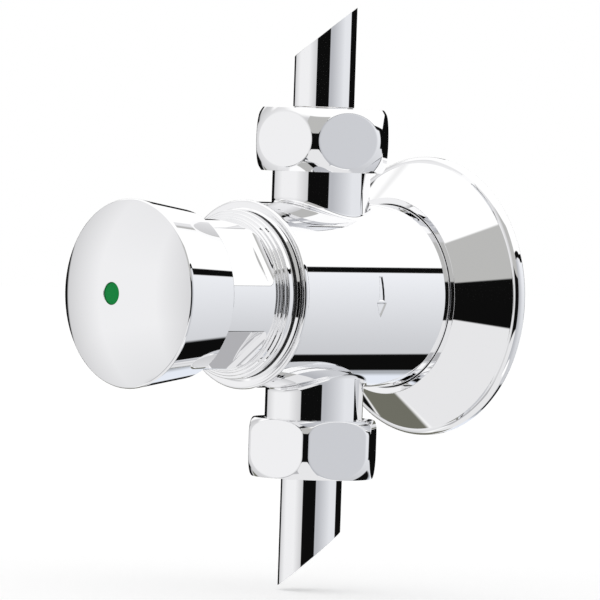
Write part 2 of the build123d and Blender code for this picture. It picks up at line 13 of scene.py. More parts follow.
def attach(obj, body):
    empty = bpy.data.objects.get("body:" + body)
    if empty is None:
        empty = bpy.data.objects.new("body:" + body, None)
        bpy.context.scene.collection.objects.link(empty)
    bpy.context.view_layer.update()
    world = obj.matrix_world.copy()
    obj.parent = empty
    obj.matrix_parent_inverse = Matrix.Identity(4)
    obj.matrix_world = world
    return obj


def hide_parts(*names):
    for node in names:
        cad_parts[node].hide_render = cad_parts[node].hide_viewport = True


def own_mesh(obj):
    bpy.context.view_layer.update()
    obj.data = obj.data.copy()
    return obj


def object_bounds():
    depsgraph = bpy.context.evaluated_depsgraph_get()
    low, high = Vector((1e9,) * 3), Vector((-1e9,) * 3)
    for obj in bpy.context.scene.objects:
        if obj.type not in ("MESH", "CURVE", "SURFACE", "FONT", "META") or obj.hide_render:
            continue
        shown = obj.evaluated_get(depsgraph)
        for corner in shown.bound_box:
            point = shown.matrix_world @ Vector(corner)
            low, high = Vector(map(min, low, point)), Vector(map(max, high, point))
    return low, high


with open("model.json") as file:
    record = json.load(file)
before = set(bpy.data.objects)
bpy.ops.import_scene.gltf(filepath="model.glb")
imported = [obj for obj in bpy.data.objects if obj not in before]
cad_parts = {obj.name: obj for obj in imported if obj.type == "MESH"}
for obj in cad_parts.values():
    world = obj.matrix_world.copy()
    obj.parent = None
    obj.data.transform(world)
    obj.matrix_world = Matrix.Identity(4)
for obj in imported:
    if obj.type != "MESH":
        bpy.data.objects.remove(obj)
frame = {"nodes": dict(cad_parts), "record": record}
cad_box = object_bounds()

MM = 0.001

# Barrel and necks
barrel_radius = 21.15
pipe_at = 35.1
barrel_back_at = 8.0
barrel_skin_back_at = 8.6
barrel_skin_front_at = 58.0
body_front_at = 59.9
neck_radius = 11.25
neck_fillet = 1.5
neck_height = 28.8
neck_skin_start = 24.0
spigot_radius = 11.0
spigot_top = 36.5
neck_bore_radius = 7.5
passage_floor = 18.5

# Skin of the barrel: the sides lie within side_angle of level, and the neck patches cover the rest
side_angle = math.radians(25)
patch_steps = 56
arrow_room_up, arrow_room_along = 5.8, 2.4
arrow_angle = arrow_room_up / barrel_radius

# Roundings of turned edges
crisp, broken, eased = 0.1, 0.2, 0.3


# Profile tools


def arc(start, middle, end, steps):
    """Points along the arc through three points, both ends included."""
    ax, ay = start
    bx, by = middle
    cx, cy = end
    scale = 2 * (ax * (by - cy) + bx * (cy - ay) + cx * (ay - by))
    sa, sb, sc = ax * ax + ay * ay, bx * bx + by * by, cx * cx + cy * cy
    ox = (sa * (by - cy) + sb * (cy - ay) + sc * (ay - by)) / scale
    oy = (sa * (cx - bx) + sb * (ax - cx) + sc * (bx - ax)) / scale
    radius = math.hypot(ax - ox, ay - oy)
    first = math.atan2(ay - oy, ax - ox)
    sweep = math.atan2(cy - oy, cx - ox) - first
    through = math.atan2(by - oy, bx - ox) - first
    full = 2 * math.pi
    sweep %= full
    if through % full > sweep:
        sweep -= full
    turns = [first + sweep * k / steps for k in range(steps + 1)]
    return [(ox + radius * math.cos(turn), oy + radius * math.sin(turn)) for turn in turns]


def outward(start, end):
    """Unit normal to the right of a step along a profile."""
    across, along = end[0] - start[0], end[1] - start[1]
    length = math.hypot(across, along)
    return along / length, -across / length


def profile(*corners):
    """Profile through corners, as points with normals.

    A corner is (radius, along) on a smooth curve, or (radius, along, rounding) where two straight
    runs meet. The material lies to the left of the path.
    """
    room_share, fewest_steps, step_angle = 0.49, 3, math.radians(12)
    points = []
    last = len(corners) - 1
    for k, corner in enumerate(corners):
        here = corner[:2]
        if k == 0 or k == last:
            step = (here, corners[1][:2]) if k == 0 else (corners[last - 1][:2], here)
            points.append((*here, *outward(*step)))
            continue
        before, after = corners[k - 1][:2], corners[k + 1][:2]
        normal_in, normal_out = outward(before, here), outward(here, after)
        bend = normal_in[0] * normal_out[1] - normal_in[1] * normal_out[0]
        turn = math.atan2(bend, normal_in[0] * normal_out[0] + normal_in[1] * normal_out[1])
        if len(corner) == 2:
            across, along = normal_in[0] + normal_out[0], normal_in[1] + normal_out[1]
            size = math.hypot(across, along)
            points.append((*here, across / size, along / size))
            continue
        room = room_share * min(math.dist(before, here), math.dist(here, after))
        reach = min(corner[2] * math.tan(abs(turn) / 2), room)
        rounding = reach / math.tan(abs(turn) / 2)
        side = -rounding if turn > 0 else rounding
        start = (here[0] + normal_in[1] * reach, here[1] - normal_in[0] * reach)
        centre = (start[0] + normal_in[0] * side, start[1] + normal_in[1] * side)
        steps = max(fewest_steps, round(abs(turn) / step_angle))
        for step in range(steps + 1):
            angle = math.atan2(normal_in[1], normal_in[0]) + turn * step / steps
            across, along = math.cos(angle), math.sin(angle)
            points.append((centre[0] - across * side, centre[1] - along * side, across, along))
    return points


def spaced(points, spacing):
    """The same profile with long runs divided, so that facets cut across them stay smooth."""
    result = [points[0]]
    for before, after in zip(points, points[1:]):
        parts = max(1, math.ceil(math.dist(before[:2], after[:2]) / spacing))
        for part in range(1, parts + 1):
            share = part / parts
            result.append(tuple(a + (b - a) * share for a, b in zip(before, after)))
    return result


def full_turn(count):
    """Angles of a full turn, the first one repeated at the end."""
    return [2 * math.pi * k / count for k in range(count + 1)]


# Skins: surfaces built point by point, each point with its own exact normal


class Skin:
    """A surface under construction. Points that coincide are one."""

    def __init__(self):
        self.index = {}
        self.points = []
        self.normals = []
        self.faces = []

    def put(self, point, normal):
        """Add a point with its normal, and return its number."""
        key = tuple(round(value, 4) for value in point)
        if key not in self.index:
            self.index[key] = len(self.points)
            self.points.append(point)
            self.normals.append(normal)
        return self.index[key]

    def face(self, corners):
        """Add a face that looks the way its normals do."""
        corners = list(dict.fromkeys(corners))
        if len(corners) < 3:
            return
        a, b, c = (self.points[k] for k in corners[:3])
        d = self.points[corners[-1]]
        lines = ((a, b), (a, c)) if len(corners) == 3 else ((a, c), (b, d))
        u, v = ([end[k] - start[k] for k in range(3)] for start, end in lines)
        across = (u[1] * v[2] - u[2] * v[1], u[2] * v[0] - u[0] * v[2], u[0] * v[1] - u[1] * v[0])
        facing = [sum(self.normals[n][k] for n in corners) for k in range(3)]
        if sum(a * b for a, b in zip(across, facing)) < 0:
            corners.reverse()
        self.faces.append(corners)

    def grid(self, rows):
        """Join neighbouring rows of point numbers with faces."""
        for upper, lower in zip(rows, rows[1:]):
            for k in range(len(upper) - 1):
                self.face((upper[k], upper[k + 1], lower[k + 1], lower[k]))

    def turned(self, points, angles, place, shape=None):
        """Turn a profile about an axis; shape may cut facets into it."""
        rows = []
        for point in points:
            shaped = [shape(*point, angle) if shape else (point, None) for angle in angles]
            rows.append([self.put(*place(*p, angle, tilt)) for (p, tilt), angle in zip(shaped, angles)])
        self.grid(rows)

    def build(self, name, node, body):
        """Make the object, ride it on its body in place of its CAD node, in that node's finish."""
        mesh = bpy.data.meshes.new(name)
        mesh.from_pydata([tuple(v * MM for v in point) for point in self.points], [], self.faces)
        mesh.polygons.foreach_set("use_smooth", [True] * len(mesh.polygons))
        mesh.normals_split_custom_set_from_vertices([tuple(normal) for normal in self.normals])
        piece = bpy.data.objects.new(name, mesh)
        bpy.context.scene.collection.objects.link(piece)
        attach(piece, body)
        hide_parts(node)
        mesh.materials.append(coats[slots[node]])
        return piece


def make_turned(name, node, body, points, count):
    """Make a piece that is one profile turned about the valve axis in count steps."""
    skin = Skin()
    skin.turned(points, full_turn(count), on_valve_axis)
    skin.build(name, node, body)


def on_valve_axis(radius, along, across, forward, angle, tilt):
    """A profile point turned about the valve axis; tilt is its normal's share round the axis."""
    cosine, sine = math.cos(angle), math.sin(angle)
    around = tilt or 0.0
    return (
        (radius * cosine, -along, radius * sine),
        (across * cosine - around * sine, -forward, across * sine + around * cosine),
    )


def on_pipe_axis(radius, height, across, upward, angle, tilt):
    """A profile point turned about the pipe axis; tilt is its normal's share round the axis."""
    cosine, sine = math.cos(angle), math.sin(angle)
    around = tilt or 0.0
    return (
        (radius * cosine, -pipe_at + radius * sine, height),
        (across * cosine - around * sine, across * sine + around * cosine, upward),
    )


def meet(first, second, blend):
    """Smaller of two radii with a rounded edge where they cross, and the first one's share."""
    share = min(max(0.5 + 0.5 * (second - first) / blend, 0.0), 1.0)
    return second + (first - second) * share - blend * share * (1 - share), share


def flats(count, first_angle, distance, slope, blend):
    """Shape function that cuts flats. distance and slope give a flat's distance from the axis."""
    pitch = 2 * math.pi / count
    least_across = 0.01

    def shape(radius, along, across, forward, angle):
        if across <= least_across or radius < distance(along) - 2 * blend:
            return (radius, along, across, forward), None
        offset = (angle - math.radians(first_angle) + pitch / 2) % pitch - pitch / 2
        cut = distance(along) / math.cos(offset)
        reduced, share = meet(radius, cut, blend)
        if share >= 1:
            return (radius, along, across, forward), None
        around = (1 - share) * -math.tan(offset)
        onward = share * forward / across - (1 - share) * slope(along) / math.cos(offset)
        size = math.sqrt(1 + around * around + onward * onward)
        return (reduced, along, 1 / size, onward / size), around / size

    return shape


# Materials


def node_tree(name):
    """New node material, its tree and its shader."""
    material = bpy.data.materials.new(name)
    material.use_nodes = True
    return material, material.node_tree, material.node_tree.nodes["Principled BSDF"]


def add_bump(tree, shader, scale, detail, strength, distance):
    """Fine relief from noise in the object's own coordinates."""
    place = tree.nodes.new("ShaderNodeTexCoord")
    noise = tree.nodes.new("ShaderNodeTexNoise")
    noise.inputs["Scale"].default_value = scale
    noise.inputs["Detail"].default_value = detail
    bump = tree.nodes.new("ShaderNodeBump")
    bump.inputs["Strength"].default_value = strength
    bump.inputs["Distance"].default_value = distance
    tree.links.new(place.outputs["Object"], noise.inputs["Vector"])
    tree.links.new(noise.outputs["Fac"], bump.inputs["Height"])
    tree.links.new(bump.outputs["Normal"], shader.inputs["Normal"])
    return place


def add_mottle(tree, shader, place, scale, low, high):
    """Slow variation of the roughness between two values."""
    detail, faint, strong = 3.0, 0.3, 0.7
    cloud = tree.nodes.new("ShaderNodeTexNoise")
    cloud.inputs["Scale"].default_value = scale
    cloud.inputs["Detail"].default_value = detail
    spread = tree.nodes.new("ShaderNodeMapRange")
    spread.inputs["From Min"].default_value = faint
    spread.inputs["From Max"].default_value = strong
    spread.inputs["To Min"].default_value = low
    spread.inputs["To Max"].default_value = high
    tree.links.new(place.outputs["Object"], cloud.inputs["Vector"])
    tree.links.new(cloud.outputs["Fac"], spread.inputs["Value"])
    tree.links.new(spread.outputs["Result"], shader.inputs["Roughness"])


def metal(name, colour, roughness, spread, relief):
    """Bare or plated metal with slow changes of gloss and a very fine relief."""
    material, tree, shader = node_tree(name)
    shader.inputs["Base Color"].default_value = (*colour, 1)
    shader.inputs["Metallic"].default_value = 1.0
    place = add_bump(tree, shader, scale=420.0, detail=2.0, strength=relief, distance=0.00002)
    add_mottle(tree, shader, place, scale=60.0, low=roughness, high=roughness + spread)
    return material


def plastic(name, colour, roughness, relief, specular=0.5):
    """Moulded plastic or rubber with a fine matt relief."""
    spread = 0.1
    material, tree, shader = node_tree(name)
    shader.inputs["Base Color"].default_value = (*colour, 1)
    shader.inputs["Specular IOR Level"].default_value = specular
    place = add_bump(tree, shader, scale=900.0, detail=4.0, strength=relief, distance=0.00005)
    add_mottle(tree, shader, place, scale=200.0, low=roughness, high=roughness + spread)
    return material


chrome = (0.965, 0.965, 0.97)

# The CAD nodes that keep their own shape take these coats by their record slot.
coats = {
    "chrome_body": metal("chrome_on_casting", chrome, roughness=0.012, spread=0.015, relief=0.012),
    "chrome_turned": metal("chrome_on_turned_brass", chrome, roughness=0.01, spread=0.012, relief=0.006),
    "chrome_nut": metal("chrome_on_nuts", chrome, roughness=0.015, spread=0.015, relief=0.01),
    "chrome_tube": metal("chrome_on_tube", chrome, roughness=0.015, spread=0.015, relief=0.01),
    "brass": metal("machined_brass", (0.72, 0.55, 0.28), roughness=0.22, spread=0.12, relief=0.2),
    "spring_steel": metal("drawn_steel", (0.62, 0.62, 0.60), roughness=0.25, spread=0.1, relief=0.2),
    "steel_rod": metal("ground_steel", (0.68, 0.68, 0.67), roughness=0.18, spread=0.1, relief=0.15),
    "zinc_plate": metal("zinc_plating", (0.60, 0.61, 0.62), roughness=0.35, spread=0.15, relief=0.3),
    "rubber": plastic("black_nitrile", (0.012, 0.012, 0.012), roughness=0.55, relief=0.3),
    "fibre": plastic("red_fibre", (0.35, 0.07, 0.04), roughness=0.7, relief=0.5),
    "green_plastic": plastic(
        "green_plastic", (0.002, 0.28, 0.055), roughness=0.3, relief=0.06, specular=0.1
    ),
}
slots = {part["node"]: part["material_slot"] for part in frame["record"]["subparts"]}
for node, piece in frame["nodes"].items():
    piece.data.materials.clear()
    piece.data.materials.append(coats[slots[node]])


# Push button


def make_push_button():
    """Domed knob with a flared skirt, hollow behind, bored for its insert and its stem."""
    crown_at, rim_radius, dome_radius, rim_rounding = 98.9, 21.3, 46.3, 1.0
    tail_at, tail_radius, tail_wall = 79.1, 19.15, 1.15
    ceiling_at, boss_at, boss_radius = 93.0, 91.4, 8.5
    front_wall = 2.6
    recess_radius, recess_at = 2.5, 97.2
    thread_radius, thread_at = 3.0, 95.7

    def dome(radius):
        return crown_at - dome_radius + math.sqrt(dome_radius**2 - radius**2)

    steps = 40
    edge = rim_radius - rim_rounding
    span = edge - recess_radius
    crown = [(edge - span * k / steps, dome(edge - span * k / steps)) for k in range(steps)]
    points = profile(
        (0, thread_at),
        (thread_radius, thread_at, crisp),
        (thread_radius, boss_at, broken),
        (boss_radius, boss_at, eased),
        (boss_radius, ceiling_at, 0.5),
        (rim_radius - front_wall, ceiling_at, 1.0),
        (tail_radius - tail_wall, tail_at, broken),
        (tail_radius, tail_at, eased),
        (rim_radius, dome(rim_radius), rim_rounding),
        *crown,
        (recess_radius, dome(recess_radius), broken),
        (recess_radius, recess_at, crisp),
        (0, recess_at),
    )
    make_turned("knob", "push_button", "plunger", points, count=240)


def make_button_insert():
    """Green insert with a slightly crowned face."""
    back_at, front_at, radius, crown = 97.2, 98.5, 2.45, 0.1
    steps = 10
    shares = [1 - k / steps for k in range(1, steps)]
    face = [(radius * share, front_at + crown * (1 - share**2)) for share in shares]
    points = profile(
        (0, back_at),
        (radius, back_at, crisp),
        (radius, front_at, 0.25),
        *face,
        (0, front_at + crown),
    )
    make_turned("knob_insert", "button_insert", "plunger", points, count=96)


# Bonnet


def make_bonnet():
    """Sleeve with four flats that run out at a beaded flange, and the cylinder inside."""
    flange_back_at, sleeve_back_at, front_at = 60.7, 64.2, 83.1
    cylinder_back_at, cylinder_front_at, cylinder_radius = 51.1, 75.1, 13.5
    thread_radius, sleeve_radius = 16.95, 17.0
    beads = (  # radius, back edge and its rounding, front edge and its rounding
        (19.2, flange_back_at, broken, 62.35, 0.5),
        (18.5, 62.45, crisp, 63.05, 0.4),
        (17.8, 63.15, crisp, 63.7, 0.35),
        (17.35, 63.75, crisp, sleeve_back_at, 0.15),
    )
    flat_distance, flat_angle = 15.15, 36.0
    stem_bore_radius, pocket_radius, pocket_at = 3.56, 7.0, 80.0
    run_out = sleeve_radius - flat_distance

    def distance(along):
        back = along - sleeve_back_at
        if back <= 0:
            return 2 * sleeve_radius
        if back >= run_out:
            return flat_distance
        return sleeve_radius - math.sqrt(run_out**2 - (back - run_out) ** 2)

    def slope(along):
        back = along - sleeve_back_at
        if back <= 0 or back >= run_out:
            return 0.0
        return (back - run_out) / math.sqrt(run_out**2 - (back - run_out) ** 2)

    steps = []
    for radius, back_at, back_rounding, bead_front_at, front_rounding in beads:
        steps += [(radius, back_at, back_rounding), (radius, bead_front_at, front_rounding)]
    outside = profile(
        (cylinder_radius, cylinder_back_at),
        (thread_radius, cylinder_back_at, broken),
        (thread_radius, flange_back_at, crisp),
        *steps,
        (sleeve_radius, sleeve_back_at, 0.08),
        (sleeve_radius, front_at, 0.6),
        (pocket_radius, front_at),
    )
    inside = profile(
        (pocket_radius, front_at),
        (pocket_radius, pocket_at, crisp),
        (stem_bore_radius, pocket_at, crisp),
        (stem_bore_radius, cylinder_front_at, crisp),
        (cylinder_radius, cylinder_front_at, eased),
        (cylinder_radius, cylinder_back_at),
    )
    skin = Skin()
    turns = full_turn(count=360)
    shape = flats(4, flat_angle, distance, slope, blend=0.12)
    skin.turned(spaced(outside, spacing=0.12), turns, on_valve_axis, shape)
    skin.turned(inside, turns, on_valve_axis)
    skin.build("bonnet_sleeve", "bonnet", "housing")


# Rubber rings


def make_gasket():
    """Flat gasket squeezed between body and bonnet, its outer side bulged."""
    inner, outer, bulge, front_at = 17.0, 18.85, 0.12, 60.7
    middle_at = (body_front_at + front_at) / 2
    side = arc((outer - bulge, body_front_at), (outer, middle_at), (outer - bulge, front_at), steps=8)
    points = profile((inner, front_at), (inner, body_front_at, 0.05), *side, (inner, front_at))
    make_turned("bonnet_gasket_ring", "bonnet_gasket", "housing", points, count=180)


def make_oring():
    """Round ring in the hub of the wall flange."""
    section, centre_radius, centre_at, steps = 0.6, 21.775, 11.1, 20
    points = []
    for k in range(steps + 1):
        angle = 2 * math.pi * k / steps
        across, forward = math.cos(angle), math.sin(angle)
        points.append((centre_radius + section * across, centre_at + section * forward, across, forward))
    make_turned("rosette_oring", "flange_oring", "rosette", points, count=180)


# Return spring


def make_return_spring():
    """Coil between cylinder cap and piston, built at one length only."""
    cap_at, first_at, last_at, turns = 53.1, 53.7, 67.1, 4
    radius, wire_radius, edge, pressed_share = 9.5, 0.55, 0.1, 0.45
    steps, sides, end_slant = 288, 16, 1e4
    climb = (last_at - first_at) / (2 * math.pi * turns)
    skin = Skin()

    def ring(turn, size, onward, slant):
        """One ring of points round the wire; slant tips the normals along it at an end."""
        across = Vector((math.cos(turn), 0, math.sin(turn)))
        along = Vector((-radius * math.sin(turn), -climb, radius * math.cos(turn))).normalized()
        middle = radius * across + Vector((0, -first_at - climb * turn, 0)) + onward * along
        numbers = []
        for k in range(sides + 1):
            angle = 2 * math.pi * (k % sides) / sides
            normal = math.cos(angle) * across + math.sin(angle) * along.cross(across)
            point = middle + size * normal
            numbers.append(skin.put(tuple(point), tuple((normal + slant * along).normalized())))
        return numbers

    last_turn = 2 * math.pi * turns
    rows = [ring(0, wire_radius - edge, -edge, -end_slant)]
    rows += [ring(last_turn * k / steps, wire_radius, 0, 0) for k in range(steps + 1)]
    rows.append(ring(last_turn, wire_radius - edge, edge, end_slant))
    skin.grid(rows)
    skin.face(rows[0])
    skin.face(rows[-1])
    coil = skin.build("return_coil", "return_spring", "housing")
    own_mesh(coil)


# Wall flange


def make_wall_flange():
    """Trumpet rosette with a rolled lip and an O-ring groove in its hub."""
    rim_radius, lip_radius, waist_radius, hub_radius = 32.43, 31.0, 27.4, 22.7
    rim_at, lip_at, waist_at, front_at = 0.9, 2.6, 7.2, 13.3
    bore_radius, cavity_radius = 21.3, 29.0
    groove_radius, groove_front_at, groove_back_at = 22.4, 12.0, 10.2
    lip_middle, shoulder_radius = (31.94, 2.05), 25.4
    lip = arc((rim_radius, rim_at), lip_middle, (lip_radius, lip_at), steps=14)
    trumpet = arc((lip_radius, lip_at), (waist_radius, waist_at), (hub_radius, front_at), steps=60)
    points = profile(
        (cavity_radius, 0),
        (rim_radius, 0, eased),
        (rim_radius, rim_at, broken),
        *lip[1:-1],
        (lip_radius, lip_at, 0.25),
        *trumpet[1:-1],
        (hub_radius, front_at, 1.0),
        (bore_radius, front_at, 0.25),
        (bore_radius, groove_front_at, crisp),
        (groove_radius, groove_front_at, crisp),
        (groove_radius, groove_back_at, crisp),
        (bore_radius, groove_back_at, crisp),
        (bore_radius, waist_at, broken),
        (shoulder_radius, waist_at, 0.5),
        (cavity_radius, rim_at, eased),
        (cavity_radius, 0),
    )
    make_turned("rosette_skin", "wall_flange", "rosette", points, count=320)


# Union nuts and tubes


def make_union_nut(name, side, top, half_flats, neck_round, tube_round):
    """Hexagon nut with turned, rounded ends; side is 1 above the valve and -1 below."""
    bottom, end_radius, first_angle = 28.3, 13.85, -20.0
    corner_height = 1.75
    corner_radius = half_flats + corner_height
    lip_radius, lip_bottom, bore_radius = 7.3, 40.1, 11.05
    relief_radius, relief_top = 11.55, 29.3

    def rounded(height, toward, length):
        """Arc from the nut's end to where it touches the corners."""
        drop = corner_radius - end_radius
        radius = (length**2 + drop**2) / (2 * drop)
        half = math.asin(length / radius) / 2
        middle = (
            corner_radius - radius * (1 - math.cos(half)),
            height + toward * (length - radius * math.sin(half)),
        )
        return arc((end_radius, height), middle, (corner_radius, height + toward * length), steps=24)

    outside = profile(
        (relief_radius, bottom),
        (end_radius, bottom, 0.12),
        *rounded(bottom, 1, neck_round)[1:],
        *reversed(rounded(top, -1, tube_round)[1:]),
        (end_radius, top, 0.12),
        (lip_radius, top),
    )
    inside = profile(
        (lip_radius, top),
        (lip_radius, lip_bottom, broken),
        (bore_radius, lip_bottom, crisp),
        (bore_radius, relief_top, crisp),
        (relief_radius, relief_top, crisp),
        (relief_radius, bottom),
    )
    shape = flats(6, first_angle, lambda along: half_flats, lambda along: 0.0, blend=0.16)

    def place(radius, height, across, upward, angle, tilt):
        return on_pipe_axis(radius, side * height, across, side * upward, angle, tilt)

    skin = Skin()
    turns = full_turn(count=480)
    skin.turned(spaced(outside, spacing=0.16), turns, place, shape)
    skin.turned(inside, turns, place)
    skin.build(f"{name}_skin", name, "housing")


def make_tube(name, side, shoulder, reach, slope):
    """Tube with a slanted end and a turned-down seat; side is 1 above the valve and -1 below."""
    outer, seat, inner, start, edge = 7.0, 6.75, 6.0, 38.5, 0.12
    bevel = 0.3 * edge
    heading = math.radians(46.2)
    steepness = math.hypot(1, slope)
    lean = -slope * side / steepness
    cut_normal = (lean * math.cos(heading), lean * math.sin(heading), side / steepness)

    def cut(radius, angle):
        return side * reach + slope * radius * math.cos(angle - heading)

    skin = Skin()
    rows = []
    turns = full_turn(count=160)

    def row(radius, height, normal):
        numbers = []
        for angle in turns:
            x, y = radius * math.cos(angle), radius * math.sin(angle)
            numbers.append(skin.put((x, -pipe_at + y, height(angle)), normal(angle)))
        rows.append(numbers)

    def out(angle):
        return (math.cos(angle), math.sin(angle), 0.0)

    def into(angle):
        return (-math.cos(angle), -math.sin(angle), 0.0)

    def between(first, second):
        return lambda angle: tuple(
            Vector(a + b for a, b in zip(first(angle), second(angle))).normalized()
        )

    def end(angle):
        return cut_normal

    def foot(angle):
        return (0.0, 0.0, -side)

    row(inner, lambda a: side * start, between(into, foot))
    row(inner + edge, lambda a: side * start, foot)
    row(seat - edge, lambda a: side * start, foot)
    row(seat, lambda a: side * (start + edge), out)
    row(seat, lambda a: side * (shoulder - edge), out)
    row(seat + edge / 2, lambda a: side * shoulder, foot)
    row(outer - edge / 2, lambda a: side * shoulder, foot)
    row(outer, lambda a: side * (shoulder + edge), out)
    row(outer, lambda a: cut(outer, a) - side * edge, out)
    row(outer - bevel, lambda a: cut(outer, a) - side * bevel, between(out, end))
    row(outer - edge, lambda a: cut(outer - edge, a), end)
    row(inner + edge, lambda a: cut(inner + edge, a), end)
    row(inner + bevel, lambda a: cut(inner, a) - side * bevel, between(into, end))
    row(inner, lambda a: cut(inner, a) - side * edge, into)
    row(inner, lambda a: side * (start + edge), into)
    row(inner, lambda a: side * start, between(into, foot))
    skin.grid(rows)
    skin.build(f"{name}_skin", name, "housing")


# Valve body


def rectangle_walk():
    """Places round the skin patch of one neck: (u, v) run round the barrel and along it.

    u is the arc length from the neck's axis, and v is the distance toward the wall. The steps are
    finest beside the flow arrow.
    """
    half = barrel_radius * (math.pi / 2 - side_angle)
    front, back = pipe_at - barrel_skin_front_at, pipe_at - barrel_skin_back_at
    fine, fine_step, coarse_step = 2.6, 0.1, 0.9
    side = [-fine + fine_step * k for k in range(round(2 * fine / fine_step) + 1)]
    below = math.ceil((-fine - front) / coarse_step)
    above = math.ceil((back - fine) / coarse_step)
    side = [front + (-fine - front) * k / below for k in range(below)] + side
    side = side + [fine + (back - fine) * k / above for k in range(1, above + 1)]
    across = [half - 2 * half * k / patch_steps for k in range(patch_steps + 1)]
    walk = [(half, v) for v in side]
    walk += [(u, back) for u in across[1:]]
    walk += [(-half, v) for v in reversed(side[:-1])]
    walk += [(u, front) for u in reversed(across[:-1])]
    return walk, side


def arrow_pockets():
    """Corners of the flow arrow's shaft and head as (toward the wall, upward), pointing down."""
    top, shaft_end, head_start, tip = 5.2, -0.6, -0.8, -4.6
    shaft = [(-0.55, top), (-0.95, shaft_end), (0.95, shaft_end), (0.55, top)]
    head = [(-1.65, head_start), (0.0, tip), (1.65, head_start)]
    return shaft, head


def inside_distance(point, corners):
    """Distance from a point to the nearest side, positive inside the outline."""
    x, y = point
    best = math.inf
    inside = False
    for (ax, ay), (bx, by) in zip(corners, corners[1:] + corners[:1]):
        dx, dy = bx - ax, by - ay
        share = max(0.0, min(1.0, ((x - ax) * dx + (y - ay) * dy) / (dx * dx + dy * dy)))
        best = min(best, math.hypot(x - ax - share * dx, y - ay - share * dy))
        if (ay > y) != (by > y) and x < (bx - ax) * (y - ay) / (by - ay) + ax:
            inside = not inside
    return best if inside else -best


def arrow_depth_at(along, upward):
    """Depth of the flow arrow at a place on the side of the barrel."""
    depth, wall = 0.35, 0.4
    inward = max(inside_distance((along, upward), pocket) for pocket in arrow_pockets())
    share = min(max(inward / wall, 0.0), 1.0)
    return depth * share * share * (3 - 2 * share)


def neck_point(angle, side, share):
    """Fillet point and normal; share runs from 0 on the neck to 1 on the barrel."""
    reach = neck_radius + neck_fillet
    ring_radius = barrel_radius + neck_fillet
    x, y = reach * math.cos(angle), reach * math.sin(angle)
    z = math.sqrt(ring_radius**2 - x * x)
    to_neck = Vector((-math.cos(angle), -math.sin(angle), 0))
    to_barrel = Vector((-x / ring_radius, 0, -z / ring_radius))
    toward = to_neck.slerp(to_barrel, share)
    point = Vector((x, y, z)) + neck_fillet * toward
    return (
        (point.x, -pipe_at + point.y, side * point.z),
        (-toward.x, -toward.y, -side * toward.z),
    )


def add_neck(skin, walk, side):
    """A neck with its bore and fillet, and the patch of barrel between its foot and the walk."""
    fillet_steps, rings, crowding = 6, 26, 1.4
    angles = [math.atan2(v, u) for u, v in walk]
    fillet = []
    for k in range(fillet_steps + 1):
        fillet.append([skin.put(*neck_point(angle, side, k / fillet_steps)) for angle in angles])
    skin.grid(fillet)
    foot = []
    for angle in angles:
        x, y, z = neck_point(angle, side, 1.0)[0]
        foot.append((barrel_radius * math.atan2(x, side * z), y + pipe_at))
    patch = []
    for k in range(rings + 1):
        share = (k / rings) ** crowding
        row = []
        for (foot_u, foot_v), (walk_u, walk_v) in zip(foot, walk):
            u, v = foot_u + (walk_u - foot_u) * share, foot_v + (walk_v - foot_v) * share
            turn = u / barrel_radius
            normal = (math.sin(turn), 0.0, side * math.cos(turn))
            point = (barrel_radius * normal[0], -pipe_at + v, barrel_radius * normal[2])
            row.append(skin.put(point, normal))
        patch.append(row)
    skin.grid(patch)
    top = profile(
        (neck_radius, neck_skin_start),
        (neck_radius, neck_height, broken),
        (spigot_radius, neck_height, 0.05),
        (spigot_radius, spigot_top, eased),
        (neck_bore_radius, spigot_top, broken),
        (neck_bore_radius, passage_floor, broken),
        (0, passage_floor),
    )
    rows = [fillet[0]]
    for radius, height, across, upward in top:
        rows.append([
            skin.put(*on_pipe_axis(radius, side * height, across, side * upward, angle, None))
            for angle in angles
        ])
    skin.grid(rows)


def side_row_angles():
    """Angles of the rows down a side of the barrel, finest over the flow arrow."""
    fine_count, coarse_count = 105, 8
    fine = [arrow_angle - 2 * arrow_angle * k / fine_count for k in range(fine_count + 1)]
    coarse = [side_angle - (side_angle - arrow_angle) * k / coarse_count for k in range(coarse_count)]
    return coarse + fine + [-angle for angle in reversed(coarse)]


def add_side(skin, side_steps, row_angles, facing):
    """A side of the barrel between the neck patches. The one that faces +X has the flow arrow."""
    step = 0.02
    rows = []
    for angle in row_angles:
        up = angle * barrel_radius
        cosine, sine = math.cos(angle), math.sin(angle)
        row = []
        for v in side_steps:
            depth, around, along = 0.0, 0.0, 0.0
            if facing > 0 and abs(angle) < arrow_angle and abs(v) < arrow_room_along:
                depth = arrow_depth_at(v, up)
                around = (arrow_depth_at(v, up + step) - arrow_depth_at(v, up - step)) / (2 * step)
                along = (arrow_depth_at(v + step, up) - arrow_depth_at(v - step, up)) / (2 * step)
            radius = barrel_radius - depth
            normal = Vector((cosine - around * sine, along, sine + around * cosine)).normalized()
            point = (facing * radius * cosine, -pipe_at + v, radius * sine)
            row.append(skin.put(point, (facing * normal.x, normal.y, normal.z)))
        rows.append(row)
    skin.grid(rows)


